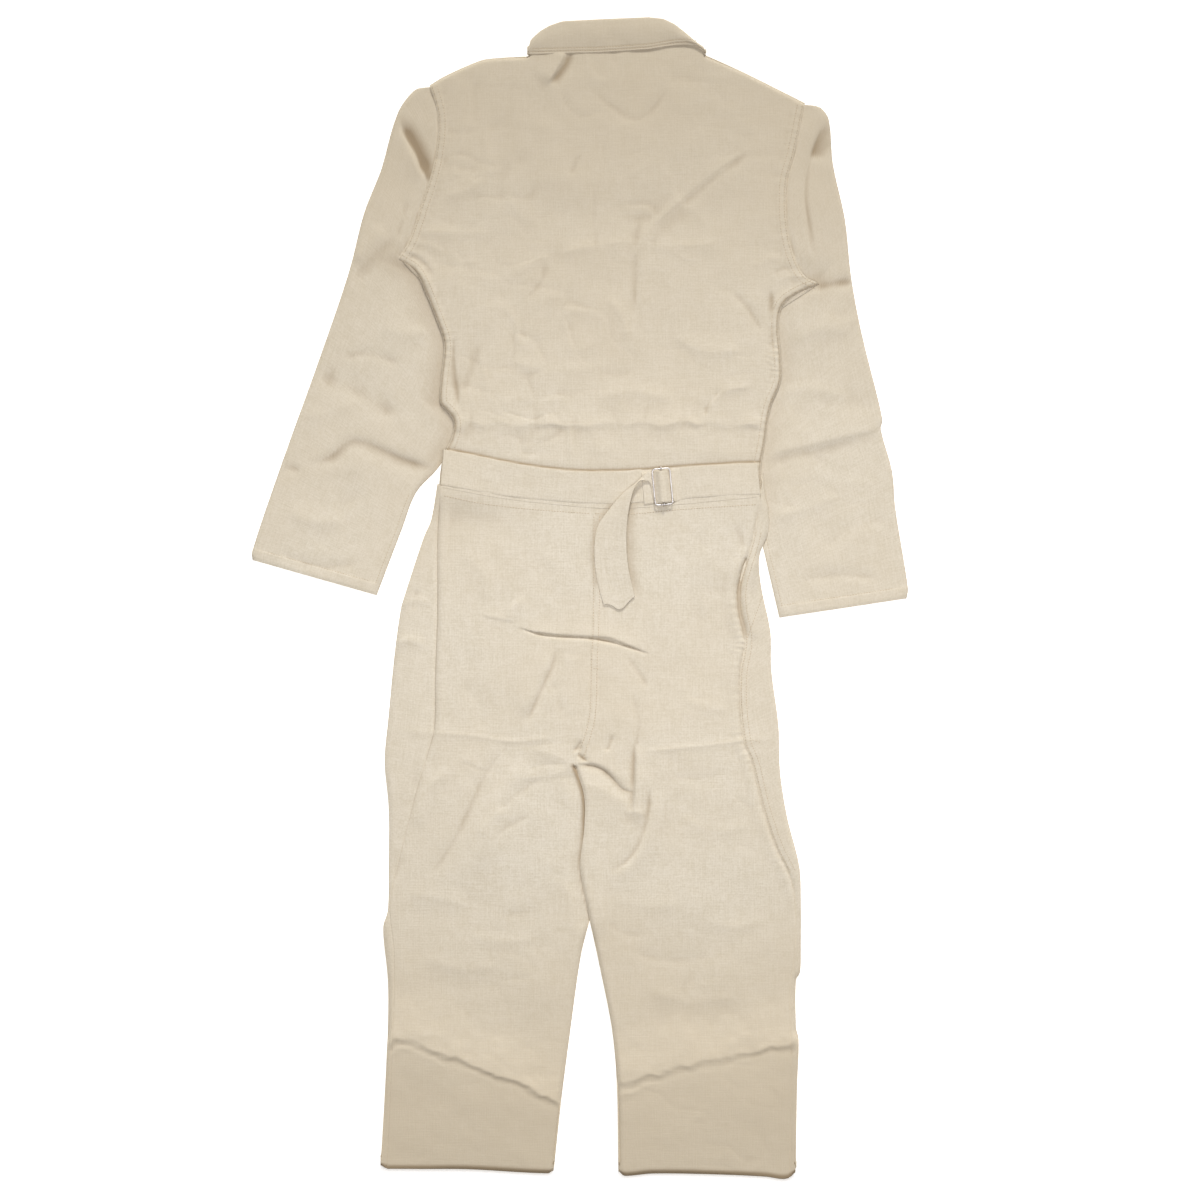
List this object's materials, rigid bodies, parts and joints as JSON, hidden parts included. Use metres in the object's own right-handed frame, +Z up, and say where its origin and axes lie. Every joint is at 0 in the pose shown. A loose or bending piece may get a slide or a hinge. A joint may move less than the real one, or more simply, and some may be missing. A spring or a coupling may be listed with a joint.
{
  "type": "jumpsuit",
  "caption": "Long-sleeved linen jumpsuit with a turned-down collar and a belted back, laid flat face down with its leg ends folded under.",
  "frame": {"origin": "on the surface the garment lies on, under the middle of its outline's box", "axes": "+Y from the leg ends to the collar, +X to the right of the laid garment as seen from above, +Z up out of its back"},
  "size_m": [0.82, 1.4501, 0.0148],
  "materials": {
    "linen": "matt plain-woven linen, cream",
    "steel": "polished silver-coloured wire"
  },
  "bodies": {
    "root": {"back_bodice": "linen", "front_bodice_left": "linen", "front_bodice_right": "linen", "front_placket": "linen", "collar": "linen", "sleeve_left": "linen", "sleeve_right": "linen", "back_leg_left": "linen", "back_leg_right": "linen", "front_leg_left": "linen", "front_leg_right": "linen", "leg_fold_left": "linen", "leg_fold_right": "linen", "belt_left": "linen", "belt_right": "linen", "slider_frame": "steel", "slider_bar": "steel"}
  },
  "joints": []
}
